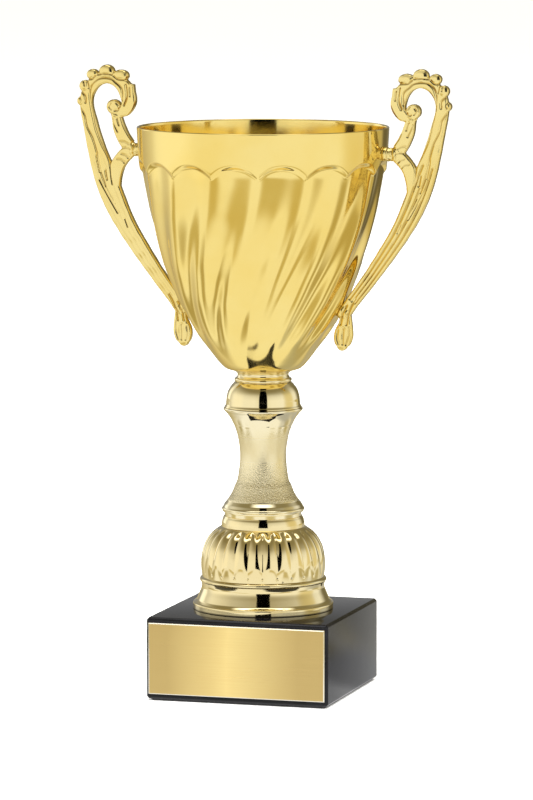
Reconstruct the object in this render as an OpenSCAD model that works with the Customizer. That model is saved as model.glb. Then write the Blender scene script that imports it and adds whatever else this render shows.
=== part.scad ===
// Two-handled trophy cup on a black marble base.
// Thin spun and cast shells are stacked on a marble block, and one threaded rod clamps the stack.
// Millimetres, +Z up. The origin is the centre of the base's underside, on the surface it stands on.
// The front, with the engraving plate, faces -Y. The handles lie in the plane y = 0.

/* [Base] */
// Side of the square marble block
base_side = 80; // [78:1:100]
// Height of the marble block
marble_h = 35; // [33:1:60]
// Chamfer along every edge of the block
base_chamfer = 1; // [0.5:0.1:2]
// Thickness of the felt sheet under the block
felt_t = 0.7; // [0.5:0.1:1.5]
// Gap from the block's edge to the felt's edge
felt_margin = 1.5; // [1.2:0.1:4]

/* [Engraving plate] */
// Width of the plate
plate_w = 77.5; // [60:0.5:77.5]
// Height of the plate
plate_h = 30.5; // [20:0.5:31]
// Thickness of the plate
plate_t = 0.7; // [0.5:0.1:1.5]
// Bevel round the plate's front
plate_bevel = 0.4; // [0.2:0.1:0.4]
// Thickness of the double-sided tape
tape_t = 0.2; // [0.1:0.1:0.4]

/* [Stem] */
// Radius of the foot's flange
foot_r = 30.1; // [30.1:0.1:34]
// Height of the foot: flange, scotia, bead, dome and collar
foot_h = 40; // [40:0.5:42]
// Height of the waisted column
column_h = 46.6; // [46.6:0.2:52]
// Height of the knob above the column
knob_h = 11; // [11:0.5:14]
// Height of the ringed collar under the bowl
collar_h = 5; // [5:0.5:8]
// Wall of the hollow stem pieces
stem_wall = 1.4; // [1.2:0.1:2]

/* [Bowl] */
// Thickness of the bowl's wall
bowl_wall = 1; // [0.8:0.1:1.4]
// Height of the bowl
bowl_h = 103.9; // [103.9:0.1:108]
// Radius at the lip
lip_r = 53.7; // [53.6:0.1:54.5]

/* [Handles] */
// Thickness of a handle from front to back
handle_t = 4.6; // [4:0.1:6]
// Height of the upper screw above the bowl's underside
upper_screw_h = 93.2; // [91:0.2:95]
// Height of the lower screw above the bowl's underside
lower_screw_h = 26.2; // [25:0.2:27.5]

/* [Fasteners] */
// Diameter of the clamping rod (M6)
rod_d = 6; // [6:0.5:6]
// Diameter of the handle screws (M3)
screw_d = 3; // [3:0.5:3]

/* [Hidden] */

round_fn = 96;
small_fn = 48;
spline_steps = 4;
cut = 0.5;

gold = "#e8cf7a";
satin_gold = "#f0dc90";
deep_gold = "#e0c060";
steel = "#b8bcc0";
black_stone = "#141416";

// Heights of the joints between the stacked pieces, from the ground up
marble_z = felt_t;
foot_z = marble_z + marble_h;
column_z = foot_z + foot_h;
knob_z = column_z + column_h;
collar_z = knob_z + knob_h;
bowl_z = collar_z + collar_h;
lip_z = bowl_z + bowl_h;

// Clamping rod and its fittings
rod_hole_r = rod_d / 2 + 0.3;
rod_fit = 0.05;
nut_flats = 10;
nut_h = 5;
nut_chamfer = 0.6;
lock_r = 5.6;
lock_h = 1.6;
lock_gap = 1.2;
wide_washer_r = 11;
wide_washer_h = 1.6;
rod_end = 2;
counterbore_r = 12.5;
counterbore_h = 10.6;
bowl_floor = 1.4;
base_stack_top = marble_z + counterbore_h;
cup_stack_bottom = bowl_z + bowl_floor;
stack_h = wide_washer_h + lock_h + nut_h;
rod_bottom = base_stack_top - stack_h - rod_end / 2;
rod_top = cup_stack_bottom + stack_h + rod_end;

// Handle screws: the washer's rim touches the curved wall, so its middle stands off by seat_gap
screw_r = screw_d / 2;
screw_hole_r = screw_r + 0.2;
tapped_r = screw_r - 0.05;
screw_reach = 5;
head_r = 2.8;
head_h = 2;
slot_w = 0.7;
slot_depth = 0.8;
small_washer_r = 3.5;
small_washer_h = 0.5;
seat_gap = 0.25;
boss_r = 3.2;
boss_len = 5.5;

// Catmull-Rom curve through a list of points of any length of vector
function spline_at(a, b, c, d, t) =
  0.5 * (2 * b + (c - a) * t + (2 * a - 5 * b + 4 * c - d) * t * t
  + (3 * b - a - 3 * c + d) * t * t * t);
function smooth(p, steps = spline_steps) = concat(
  [for (i = [0 : len(p) - 2]) for (k = [0 : steps - 1])
    spline_at(p[max(i - 1, 0)], p[i], p[i + 1], p[min(i + 2, len(p) - 1)], k / steps)],
  [p[len(p) - 1]]
);
// Points of an arc from angle a to angle b
function arc(x, y, r, a, b, n = 8) = [for (k = [0 : n])
  [x + r * cos(a + (b - a) * k / n), y + r * sin(a + (b - a) * k / n)]];
// The same points moved up by z
function lift(p, z) = [for (q = p) [q[0], q[1] + z]];
// Points moved to the left of the direction of travel by t
function direction(p, i) = p[min(i + 1, len(p) - 1)] - p[max(i - 1, 0)];
function moved_left(p, t) = [for (i = [0 : len(p) - 1])
  let (d = direction(p, i), n = norm([d[0], d[1]])) [p[i][0] - t * d[1] / n, p[i][1] + t * d[0] / n]];

// Outside of each turned piece, [radius, height above the piece's own underside]
flange_h = 3;
foot_outside = concat(
  [[foot_r - 0.4, 0], [foot_r, 0.4]],
  arc(foot_r - 0.6, flange_h - 0.6, 0.6, 0, 80, 4),
  smooth([[28.4, 4.3], [27.4, 6.6], [26.5, 8.8], [26.3, 10.1], [26.5, 11.2]]),
  arc(26.2, 12.7, 1, -60, 60),
  smooth([[26.1, 14], [26.55, 17], [26.6, 20.5], [26.1, 24.4], [24.9, 28.3], [22.4, 32.2], [18.6, 35.1]]),
  [[17.8, 35.5], [17.7, 37.4], [17.3, 38.9], [16.8, foot_h]]
);
column_outside = concat(
  [[16.4, 0], [16.4, 1.5], [17.2, 1.9]],
  arc(16.9, 3.1, 0.8, -50, 60, 5),
  smooth([[16.6, 5.2], [14.6, 7.8], [13.1, 10.4], [12.1, 13], [11, 15.6], [10.2, 20.7],
    [9.85, 25.9], [10.3, 31.1], [11.4, 36.3], [13.6, 41.4], [15.4, 44], [16.7, 45.4]]),
  [[17, 45.9], [16.8, column_h]]
);
knob_outside = concat(
  [[16.5, 0], [16.4, 0.6]],
  smooth([[15.9, 1.4], [15.75, 3], [15.6, 4.6], [15, 6.9], [14, 8.8], [12.5, 10.6]]),
  [[12.1, knob_h]]
);
collar_outside = concat(
  [[11.8, 0]],
  arc(11.4, 0.9, 0.9, -70, 70, 5),
  smooth([[11.3, 1.9], [10.85, 3], [11.2, 3.9], [12.2, 4.6]]),
  [[12.6, collar_h]]
);
bowl_outside = concat(
  [[12.6, 0]],
  smooth([[13.2, 0.05], [15.8, 0.8], [17.8, 2.4], [20.3, 5.4], [24, 10.2], [28, 15.4], [32.1, 22],
    [36.1, 29.8], [39.3, 37.6], [42.6, 46.2], [45.6, 56.4], [48.1, 66.6], [50, 76.9], [51.3, 84],
    [52.6, 87.4], [53.1, 92], [53.4, 98], [lip_r, bowl_h - bowl_wall / 2]])
);
bowl_inside = [for (p = moved_left(bowl_outside, bowl_wall)) if (p[1] > bowl_floor) p];
lip_arc = arc(lip_r - bowl_wall / 2, bowl_h - bowl_wall / 2, bowl_wall / 2, 20, 160, 5);

// Radius and slope of the bowl's outside at a height above its underside
bowl_table = [for (p = bowl_outside) [p[1], p[0]]];
function bowl_r(h) = lookup(h, bowl_table);
function bowl_tilt(h) = atan((bowl_r(h + 1) - bowl_r(h - 1)) / 2);

// Handle: strokes of [radius from the axis, height above the bowl's underside, half width]
leg_stroke = [[35.6, 24.5, 3], [40, 30.6, 3], [46.8, 39.6, 3.3], [54, 49.8, 3.8], [60.4, 59.6, 4.3],
  [65.6, 69.6, 5], [69.4, 79, 5.2], [72.6, 88, 4.6], [75, 96, 3.8], [77, 104, 3.2], [78.6, 111.4, 2.9],
  [78, 117, 2.9], [74.8, 121.6, 2.9], [69.8, 123.6, 2.8], [64.8, 122.4, 3], [61, 118.6, 3.6],
  [59.6, 113.6, 3.4], [61.4, 109.6, 2.6], [64.6, 109, 2.2]];
neck_stroke = [[65.8, 110, 2.6], [64.9, 106.4, 2.7], [64, 102.4, 2.9], [62.2, 98.4, 3], [60, 95, 3.1],
  [57.2, 92.9, 3], [51, 92.9, 2.9]];
branch_stroke = [[56, 93.2, 2.8], [60.4, 91.6, 3.2], [64, 87.4, 3.2], [66.4, 81.6, 3.6], [67.4, 75, 4]];
foot_stroke = [[36.2, 26.6, 2.4], [37, 21, 2.9], [36.4, 16.4, 3.9], [35.4, 12.4, 3.1], [35, 10, 1.6]];
scroll_ball = [66.2, 111.2, 3];
// Crest beads on the outside of the loop, [radius from the axis, height, bead radius]
crest_beads = [[81.2, 113.3, 1.6], [80.1, 119.8, 2.2], [76.2, 124.7, 2.3], [70, 127, 2.6], [63.6, 125, 3]];
foot_tip = [35.1, 10.4, 2];

// Closed outline of one stroke
function stroke_side(p, sign) = [for (i = [0 : len(p) - 1])
  let (d = direction(p, i), n = norm([d[0], d[1]]))
  [p[i][0] - sign * p[i][2] * d[1] / n, p[i][1] + sign * p[i][2] * d[0] / n]];
function reversed(p) = [for (i = [len(p) - 1 : -1 : 0]) p[i]];
function stroke_outline(p) = concat(stroke_side(p, 1), reversed(stroke_side(p, -1)));

// ---- helpers ----

// Turned solid from an outside profile that starts and ends away from the axis
module turned(outside) {
  rotate_extrude($fn = round_fn)
    polygon(concat([[0, outside[0][1]]], outside, [[0, outside[len(outside) - 1][1]]]));
}

module ring(outer, inner, h) {
  difference() {
    cylinder(r = outer, h = h, $fn = small_fn);
    translate([0, 0, -cut]) cylinder(r = inner, h = h + 2 * cut, $fn = small_fn);
  }
}

module rod_hole(z, h) {
  translate([0, 0, z - cut]) cylinder(r = rod_hole_r, h = h + 2 * cut, $fn = small_fn);
}

// Outline of a w by d rectangle with its corners cut off by c
module cut_square(w, d, c) {
  x = w / 2;
  y = d / 2;
  polygon([[-x + c, -y], [x - c, -y], [x, -y + c], [x, y - c],
    [x - c, y], [-x + c, y], [-x, y - c], [-x, -y + c]]);
}

// Frame of a handle screw: origin on the bowl's outside, +Z outwards along the screw
module at_screw(side, h) {
  mirror([side < 0 ? 1 : 0, 0, 0])
    translate([bowl_r(h), 0, bowl_z + h])
      rotate([0, 90 + bowl_tilt(h), 0])
        children();
}

module hex_nut(h) {
  corner_r = nut_flats / sqrt(3);
  difference() {
    intersection() {
      cylinder(r = corner_r, h = h, $fn = 6);
      union() {
        cylinder(r1 = corner_r - nut_chamfer, r2 = corner_r, h = nut_chamfer, $fn = small_fn);
        translate([0, 0, nut_chamfer]) cylinder(r = corner_r, h = h - 2 * nut_chamfer, $fn = small_fn);
        translate([0, 0, h - nut_chamfer])
          cylinder(r1 = corner_r, r2 = corner_r - nut_chamfer, h = nut_chamfer, $fn = small_fn);
      }
    }
    translate([0, 0, -cut]) cylinder(r = rod_d / 2, h = h + 2 * cut, $fn = small_fn);
  }
}

// Spring washer: a ring split by a narrow gap
module split_washer() {
  difference() {
    ring(lock_r, rod_d / 2 + 0.2, lock_h);
    translate([0, -lock_gap / 2, -cut]) cube([lock_r + cut, lock_gap, lock_h + 2 * cut]);
  }
}

// ---- base ----

module marble_base() {
  color(black_stone) difference() {
    translate([0, 0, marble_z + marble_h / 2]) intersection() {
      linear_extrude(marble_h, center = true) cut_square(base_side, base_side, base_chamfer);
      rotate([90, 0, 0]) linear_extrude(base_side, center = true)
        cut_square(base_side, marble_h, base_chamfer);
      rotate([90, 0, 90]) linear_extrude(base_side, center = true)
        cut_square(base_side, marble_h, base_chamfer);
    }
    rod_hole(marble_z, marble_h);
    translate([0, 0, marble_z - cut])
      cylinder(r = counterbore_r, h = counterbore_h + cut, $fn = round_fn);
  }
}

module base_felt() {
  side = base_side - 2 * felt_margin;
  color("#26262a") linear_extrude(felt_t) cut_square(side, side, base_chamfer);
}

module plate_tape() {
  margin = 1.5;
  color("white") translate([0, -base_side / 2 - tape_t / 2, marble_z + marble_h / 2])
    cube([plate_w - 2 * margin, tape_t, plate_h - 2 * margin], center = true);
}

// The bevel is cut by crossing two prisms whose front corners are sloped
module plate_profile(w) {
  polygon([[-w / 2, 0], [w / 2, 0], [w / 2, plate_t - plate_bevel],
    [w / 2 - plate_bevel, plate_t], [-w / 2 + plate_bevel, plate_t], [-w / 2, plate_t - plate_bevel]]);
}

module engraving_plate() {
  color(deep_gold) translate([0, -base_side / 2 - tape_t, marble_z + marble_h / 2])
    rotate([90, 0, 0]) intersection() {
      rotate([90, 0, 0]) linear_extrude(plate_h, center = true) plate_profile(plate_w);
      rotate([90, 0, 90]) linear_extrude(plate_w, center = true) plate_profile(plate_h);
    }
}

// ---- stem ----

module foot_dome() {
  roof = 35.4;
  inside = [[foot_r - 2.2, -cut], [foot_r - 2.2, 1.6], [25, 5.4], [24.8, 20], [23.4, 27],
    [20.6, 31.6], [16, roof - 1.2], [9, roof]];
  color(gold) translate([0, 0, foot_z]) difference() {
    turned(foot_outside);
    turned(inside);
    rod_hole(0, foot_h);
  }
}

module stem_column() {
  floor_t = 2.2;
  core = smooth([[15, floor_t], [14.6, 5], [12, 9.4], [10.4, 13.6], [9, 19], [8.5, 25.9], [9, 32],
    [10.2, 37.4], [12.4, 41.4], [13.4, column_h - 2.4]]);
  color(gold) translate([0, 0, column_z]) difference() {
    turned(column_outside);
    turned(core);
    rod_hole(0, column_h);
  }
}

module stem_knob() {
  inside = smooth([[15.8 - stem_wall, -cut], [15.7 - stem_wall, 3], [14.9 - stem_wall, 6], [12.4 - stem_wall, 8.4]]);
  color(gold) translate([0, 0, knob_z]) difference() {
    turned(knob_outside);
    turned(inside);
    rod_hole(0, knob_h);
  }
}

module cup_collar() {
  color(gold) translate([0, 0, collar_z]) difference() {
    turned(collar_outside);
    rod_hole(0, collar_h);
  }
}

// ---- bowl ----

module bowl_solid() {
  translate([0, 0, bowl_z]) turned(concat(bowl_outside, lip_arc));
}

module cup_bowl() {
  color(satin_gold) difference() {
    bowl_solid();
    translate([0, 0, bowl_z]) rotate_extrude($fn = round_fn)
      polygon(concat([[0, bowl_floor], [bowl_inside[0][0] - 1, bowl_floor]], bowl_inside,
        [[lip_r - bowl_wall, bowl_h + cut], [0, bowl_h + cut]]));
    rod_hole(bowl_z, bowl_floor);
    for (side = [-1, 1]) for (h = [lower_screw_h, upper_screw_h])
      at_screw(side, h) translate([0, 0, -4]) cylinder(r = screw_hole_r, h = 8, $fn = small_fn);
    translate([0, 0, bowl_z]) rotate_extrude($fn = round_fn)
      polygon(concat([[lip_r, bowl_h + cut]], lip_arc, [[lip_r - bowl_wall, bowl_h + cut]]));
  }
}

// ---- handles ----

module handle_outline() {
  for (stroke = [leg_stroke, neck_stroke, branch_stroke, foot_stroke])
    polygon(stroke_outline(smooth(stroke, 3)));
  for (bead = concat(crest_beads, [scroll_ball, foot_tip]))
    translate([bead[0], bead[1]]) circle(r = bead[2], $fn = 32);
}

module handle(side) {
  mirror([side < 0 ? 1 : 0, 0, 0]) difference() {
    union() {
      translate([0, 0, bowl_z]) rotate([90, 0, 0])
        linear_extrude(handle_t, center = true) handle_outline();
      for (h = [lower_screw_h, upper_screw_h])
        at_screw(1, h) translate([0, 0, -1]) cylinder(r = boss_r, h = boss_len + 1, $fn = small_fn);
    }
    bowl_solid();
    for (h = [lower_screw_h, upper_screw_h])
      at_screw(1, h) translate([0, 0, -2]) cylinder(r = tapped_r, h = screw_reach + 2.5, $fn = small_fn);
  }
}

module handle_left() { color(gold) handle(-1); }
module handle_right() { color(gold) handle(1); }

// Washer and screw inside the bowl; the shank runs through the wall into the boss
module small_washer(side, h) {
  color(steel) at_screw(side, h)
    translate([0, 0, -bowl_wall - seat_gap - small_washer_h]) ring(small_washer_r, screw_hole_r, small_washer_h);
}

module small_screw(side, h) {
  under_head = bowl_wall + seat_gap + small_washer_h;
  color(steel) at_screw(side, h) difference() {
    union() {
      translate([0, 0, -under_head]) cylinder(r = screw_r - 0.1, h = under_head + screw_reach, $fn = small_fn);
      translate([0, 0, -under_head]) rotate_extrude($fn = small_fn)
        polygon(concat([[0, 0], [head_r, 0]], arc(head_r - 0.9, -head_h + 0.9, 0.9, 0, -90, 5), [[0, -head_h]]));
    }
    for (turn = [0, 90]) rotate([0, 0, turn])
      translate([0, 0, -under_head - head_h + slot_depth / 2 - cut / 2])
        cube([head_r * 1.2, slot_w, slot_depth + cut], center = true);
  }
}

module screw_left_upper() { small_screw(-1, upper_screw_h); }
module screw_left_lower() { small_screw(-1, lower_screw_h); }
module screw_right_upper() { small_screw(1, upper_screw_h); }
module screw_right_lower() { small_screw(1, lower_screw_h); }
module washer_left_upper() { small_washer(-1, upper_screw_h); }
module washer_left_lower() { small_washer(-1, lower_screw_h); }
module washer_right_upper() { small_washer(1, upper_screw_h); }
module washer_right_lower() { small_washer(1, lower_screw_h); }

// ---- clamping rod ----

module threaded_rod() {
  chamfer = 0.6;
  r = rod_d / 2 - rod_fit;
  color(steel) translate([0, 0, rod_bottom]) {
    cylinder(r1 = r - chamfer, r2 = r, h = chamfer, $fn = small_fn);
    translate([0, 0, chamfer]) cylinder(r = r, h = rod_top - rod_bottom - 2 * chamfer, $fn = small_fn);
    translate([0, 0, rod_top - rod_bottom - chamfer])
      cylinder(r1 = r, r2 = r - chamfer, h = chamfer, $fn = small_fn);
  }
}

module cup_washer() {
  color(steel) translate([0, 0, cup_stack_bottom]) ring(wide_washer_r, rod_hole_r, wide_washer_h);
}

module cup_lock_washer() {
  color(steel) translate([0, 0, cup_stack_bottom + wide_washer_h]) split_washer();
}

module cup_nut() {
  color(steel) translate([0, 0, cup_stack_bottom + wide_washer_h + lock_h]) hex_nut(nut_h);
}

module base_washer() {
  color(steel) translate([0, 0, base_stack_top - wide_washer_h]) ring(wide_washer_r, rod_hole_r, wide_washer_h);
}

module base_lock_washer() {
  color(steel) translate([0, 0, base_stack_top - wide_washer_h - lock_h]) split_washer();
}

module base_nut() {
  color(steel) translate([0, 0, base_stack_top - stack_h]) hex_nut(nut_h);
}

marble_base();
base_felt();
engraving_plate();
plate_tape();
foot_dome();
stem_column();
stem_knob();
cup_collar();
cup_bowl();
handle_left();
handle_right();
screw_left_upper();
screw_left_lower();
screw_right_upper();
screw_right_lower();
washer_left_upper();
washer_left_lower();
washer_right_upper();
washer_right_lower();
threaded_rod();
cup_washer();
cup_lock_washer();
cup_nut();
base_washer();
base_lock_washer();
base_nut();
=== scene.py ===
"""Looks of a two-handled trophy cup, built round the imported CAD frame.

Shapes are worked out in millimetres and turned into metres when a mesh is made.
+Z is up, the front with the engraving plate faces -Y and the handles lie in the plane y = 0.
"""
import math

import bmesh
import bpy
import numpy as np
from mathutils import Matrix, Vector


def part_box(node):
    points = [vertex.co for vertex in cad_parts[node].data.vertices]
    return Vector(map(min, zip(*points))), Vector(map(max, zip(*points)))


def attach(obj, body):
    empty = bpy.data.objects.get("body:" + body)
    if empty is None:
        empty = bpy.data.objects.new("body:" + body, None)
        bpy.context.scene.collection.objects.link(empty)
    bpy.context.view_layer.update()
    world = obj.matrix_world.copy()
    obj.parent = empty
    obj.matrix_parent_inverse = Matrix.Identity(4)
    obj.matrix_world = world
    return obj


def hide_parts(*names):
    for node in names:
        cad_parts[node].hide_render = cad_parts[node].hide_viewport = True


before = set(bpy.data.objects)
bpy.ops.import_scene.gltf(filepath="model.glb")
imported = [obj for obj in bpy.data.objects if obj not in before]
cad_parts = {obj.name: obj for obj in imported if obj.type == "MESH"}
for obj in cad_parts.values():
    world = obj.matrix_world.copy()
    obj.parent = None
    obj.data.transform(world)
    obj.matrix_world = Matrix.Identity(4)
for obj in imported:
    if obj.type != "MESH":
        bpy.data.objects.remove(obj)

MM = 0.001
TAU = 2 * math.pi
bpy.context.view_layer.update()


def bottom_mm(node):
    """Height of a CAD node's underside, in millimetres."""
    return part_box(node)[0].z / MM


def top_mm(node):
    """Height of a CAD node's top, in millimetres."""
    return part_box(node)[1].z / MM


# Camera, in metres and radians, at the photograph's viewing angle. Its azimuth turns from -Y towards +X
CAMERA_AZIMUTH = math.radians(16.47)
CAMERA_DISTANCE = 2.2169
CAMERA_HEIGHT = 0.3787
CAMERA_PITCH = 0.11383
CAMERA_PAN = 0.00065
CAMERA_ROLL = 0.0002
# Focal length and sensor width in millimetres, and the furthest it sees in metres
CAMERA_LENS = 235.1
CAMERA_SENSOR = 36
CAMERA_REACH = 50

# Bowl: the angle of one cusp, and how the flutes turn from the scallops down to the bottom
FLUTES = 16
FLUTE_CUSP = math.radians(14.2)
FLUTE_TWIST = math.radians(41)
FLUTE_TWIST_POWER = 1.45
FLUTE_DEPTH = 1.7
# The scallops' lowest points above the underside, their rise, and the height over which the flutes start
SCALLOP_LOW = 86.0
SCALLOP_RISE = 4.6
LEDGE = 2.4
BOWL_WALL = 0.95
# Heights above the bowl's underside where the handles sit on it
SEAT_LOW, SEAT_HIGH = 26.2, 93.2

# Foot: the lobes of the dome, and the angle of one valley between them
GADROONS = 26
GADROON_DEPTH = 0.95
GADROON_VALLEY = math.radians(16.0)

# Rod and block
ROD_HOLE_R = 3.3
THREAD_PITCH = 1.0
THREAD_DEPTH = 0.5
BLOCK_CHAMFER = 1.0
BLOCK_EDGE_R = 0.22
COUNTERBORE_R = 12.5
COUNTERBORE_DEPTH = 10.6
PLATE_BEVEL = 0.4

# Handles: half their thickness, and the grid on which their shapes are fused
HANDLE_HALF = 2.0
HANDLE_VOXEL = 0.25


# ---------------- curves and meshes

def spline(points, steps):
    """Catmull-Rom curve through points, as an array."""
    p = np.array(points, float)
    p = np.vstack([p[:1], p, p[-1:]])
    t = (np.arange(steps) / steps)[:, None]
    parts = []
    for a, b, c, d in zip(p[:-3], p[1:-2], p[2:-1], p[3:]):
        parts.append(0.5 * (2 * b + (c - a) * t + (2 * a - 5 * b + 4 * c - d) * t ** 2
                            + (3 * b - a - 3 * c + d) * t ** 3))
    return np.vstack(parts + [p[-1:]])


def arc(x, y, r, start, end, steps=8):
    """Points of an arc, angles in degrees."""
    a = np.radians(np.linspace(start, end, steps + 1))
    return np.column_stack([x + r * np.cos(a), y + r * np.sin(a)])


def smoothstep(low, high, x):
    """Rises smoothly from 0 at low to 1 at high."""
    t = np.clip((x - low) / (high - low), 0, 1)
    return t * t * (3 - 2 * t)


def add_object(name, data):
    """A new object in the scene, from a mesh, a lamp or a camera."""
    made = bpy.data.objects.new(name, data)
    bpy.context.scene.collection.objects.link(made)
    return made


def make_object(name, verts_mm, faces, sharp_deg=35):
    """A smooth-shaded mesh object from vertices in millimetres."""
    mesh = bpy.data.meshes.new(name)
    mesh.from_pydata((np.asarray(verts_mm, float) * MM).tolist(), [], faces)
    mesh.validate()
    mesh.shade_smooth()
    mesh.set_sharp_from_angle(angle=math.radians(sharp_deg))
    return add_object(name, mesh)


def grid_faces(rows, cols, wrap_rows=False):
    """Quads of a rows by cols grid of vertices whose columns close into a ring."""
    faces = []
    for i in range(rows if wrap_rows else rows - 1):
        a, b = i * cols, ((i + 1) % rows) * cols
        for j in range(cols):
            k = (j + 1) % cols
            faces.append((a + j, a + k, b + k, b + j))
    return faces


def end_fans(count, ring):
    """Triangles that close both ends of a tube of count vertices, whose end centres are the next two."""
    faces = []
    for j in range(ring):
        k = (j + 1) % ring
        faces.append((k, j, count))
        faces.append((count - ring + j, count - ring + k, count + 1))
    return faces


def turned_verts(loop, segments, radial=None):
    """Vertices of a closed (radius, height) loop turned about Z. radial(r, z, angle) moves the radius."""
    loop = np.asarray(loop, float)
    angle = np.arange(segments) * TAU / segments
    r = np.repeat(loop[:, :1], segments, 1)
    z = np.repeat(loop[:, 1:2], segments, 1)
    a = np.repeat(angle[None], len(loop), 0)
    if radial is not None:
        r = radial(r, z, a)
    return np.stack([r * np.sin(a), -r * np.cos(a), z], -1).reshape(-1, 3)


def turned(name, loop, segments, radial=None, sharp_deg=35):
    """The closed solid that a (radius, height) loop makes when it is turned about Z."""
    verts = turned_verts(loop, segments, radial)
    return make_object(name, verts, grid_faces(len(loop), segments, True), sharp_deg)


def densify(loop, step):
    """Adds points along a closed loop so that none of its edges is longer than step."""
    out = []
    for a, b in zip(loop, np.roll(loop, -1, 0)):
        n = max(1, int(math.ceil(np.linalg.norm(b - a) / step)))
        out += [a + (b - a) * k / n for k in range(n)]
    return np.array(out)


def apply_modifiers(piece):
    """Replaces the piece's mesh with what its modifiers make of it."""
    graph = bpy.context.evaluated_depsgraph_get()
    made = bpy.data.meshes.new_from_object(piece.evaluated_get(graph))
    piece.modifiers.clear()
    piece.data = made


def value_noise(points, scale, seed):
    """Smooth random values round 0, mostly within 1, as a sum of waves in seeded directions."""
    rng = np.random.default_rng(seed)
    total = np.zeros(len(points))
    waves = 14
    for _ in range(waves):
        direction = rng.normal(size=3)
        direction /= np.linalg.norm(direction)
        total += np.sin(points @ direction * TAU / (scale * rng.uniform(0.7, 1.6)) + rng.uniform(0, TAU))
    return total / math.sqrt(waves / 2)


def finish_piece(piece, material, slot, *nodes):
    """Gives a new piece its material and its place, and hides the CAD nodes it stands for. The slot argument
    is not used.
    """
    piece.data.materials.clear()
    piece.data.materials.append(material)
    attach(piece, "root")
    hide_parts(*nodes)


# ---------------- materials

def feed(tree, value, socket):
    """Links another node's output to a socket, or sets the socket's own value."""
    if isinstance(value, bpy.types.NodeSocket):
        tree.links.new(value, socket)
    else:
        socket.default_value = value


def mix_colours(tree, fac, a, b):
    """Goes from colour a to colour b as fac goes from 0 to 1."""
    made = tree.nodes.new("ShaderNodeMix")
    made.data_type = "RGBA"
    tree.links.new(fac, made.inputs[0])
    for index, value in ((6, a), (7, b)):
        feed(tree, (*value, 1) if isinstance(value, tuple) else value, made.inputs[index])
    return made.outputs[2]


class Nodes:
    """Small helper that builds a material's node tree."""

    def __init__(self, name):
        self.material = bpy.data.materials.new(name)
        self.material.use_nodes = True
        self.tree = self.material.node_tree
        self.shader = next(n for n in self.tree.nodes if n.type == "BSDF_PRINCIPLED")
        self.coords = self.tree.nodes.new("ShaderNodeTexCoord").outputs["Object"]

    def node(self, kind, **inputs):
        """A new node with each named input linked or set."""
        made = self.tree.nodes.new(kind)
        for key, value in inputs.items():
            feed(self.tree, value, made.inputs[key.replace("_", " ")])
        return made

    def link(self, source, target):
        self.tree.links.new(source, target)

    def mapped(self, scale):
        return self.node("ShaderNodeMapping", Vector=self.coords, Scale=scale).outputs["Vector"]

    def noise(self, scale, detail=3.0, roughness=0.5, vector=None, distortion=0.0):
        made = self.node("ShaderNodeTexNoise", Vector=vector or self.coords, Scale=scale, Detail=detail,
                         Roughness=roughness, Distortion=distortion)
        return made.outputs["Fac"]

    def ramp(self, fac, *stops):
        """A colour from (position, colour) stops."""
        made = self.node("ShaderNodeValToRGB", Fac=fac)
        points = made.color_ramp.elements
        while len(points) < len(stops):
            points.new(0.5)
        for point, (position, colour) in zip(points, stops):
            point.position = position
            point.color = (*colour, 1)
        return made.outputs["Color"]

    def spread(self, fac, low, high, start=0.3, end=0.7):
        """Maps start to low and end to high, and holds them beyond."""
        made = self.node("ShaderNodeMapRange", Value=fac)
        for key, value in (("From Min", start), ("From Max", end), ("To Min", low), ("To Max", high)):
            made.inputs[key].default_value = value
        return made.outputs["Result"]

    def mix(self, fac, a, b):
        return mix_colours(self.tree, fac, a, b)

    def combine(self, operation, a, b):
        made = self.tree.nodes.new("ShaderNodeMath")
        made.operation = operation
        for socket, value in zip(made.inputs, (a, b)):
            feed(self.tree, value, socket)
        return made.outputs["Value"]

    def add(self, a, b):
        return self.combine("ADD", a, b)

    def times(self, a, b):
        return self.combine("MULTIPLY", a, b)

    def bump(self, height, distance, strength=1.0, normal=None):
        made = self.node("ShaderNodeBump", Height=height, Strength=strength, Distance=distance)
        if normal is not None:
            self.link(normal, made.inputs["Normal"])
        return made.outputs["Normal"]

    def set(self, **inputs):
        """Links or sets the shader's inputs, and gives the finished material."""
        for key, value in inputs.items():
            feed(self.tree, value, self.shader.inputs[key.replace("_", " ")])
        return self.material


def gold(name, light, deep, rough, dents=0.00004, crevice=0.0, scratch=0.5):
    """Plated gold: slow colour drift, haze, hairline scratches, waviness and, on castings, painted shade that
    darkens the crevices.
    """
    n = Nodes(name)
    drift = n.noise(22, 4, 0.55)
    colour = n.ramp(drift, (0.36, deep), (0.58, light))
    if crevice:
        # Painted shade: the colour goes towards a dark brown in concave crevices, where shade falls
        point = n.node("ShaderNodeNewGeometry").outputs["Pointiness"]
        painted_crevice_shade = n.spread(point, crevice, 0.0, 0.45, 0.5)
        colour = n.mix(painted_crevice_shade, colour, (deep[0] * 0.55, deep[1] * 0.45, deep[2] * 0.3))
    haze = n.spread(n.noise(60, 5, 0.6), rough * 0.8, rough * 1.25)
    hairline = n.noise(1.0, 2, 0.5, n.mapped((900, 900, 90)))
    marks = n.spread(hairline, 0.0, 0.07 * scratch, 0.6, 0.72)
    wave = n.bump(n.noise(140, 2, 0.4), dents, 0.5)
    fine = n.bump(hairline, 0.000004, 0.35 * scratch, wave)
    return n.set(Base_Color=colour, Metallic=1.0, Roughness=n.add(haze, marks), Normal=fine)


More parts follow.
